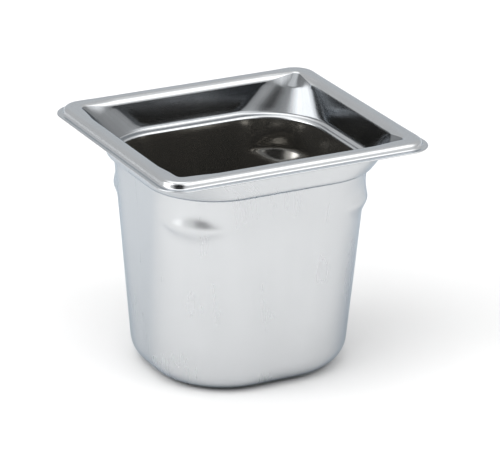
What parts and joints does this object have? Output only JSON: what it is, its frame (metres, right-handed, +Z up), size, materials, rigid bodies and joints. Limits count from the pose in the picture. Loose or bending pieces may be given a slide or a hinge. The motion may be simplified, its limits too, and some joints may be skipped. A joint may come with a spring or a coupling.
{
  "type": "food pan",
  "caption": "Deep, nearly square steel food pan with a flanged rim, a stepped neck, a tapering round-cornered body and stacking lugs in its corners; hangs in a well or stands flat.",
  "frame": {"origin": "centre of the flat bottom, on the surface that the pan stands on", "axes": "+Z up out of the mouth, +X along the longer side of the rim, +Y along the shorter side"},
  "size_m": [0.176, 0.162, 0.15],
  "materials": {
    "steel": "satin brushed, with a brighter rim and darker inside"
  },
  "bodies": {
    "root": {"pan": "steel"}
  },
  "joints": []
}
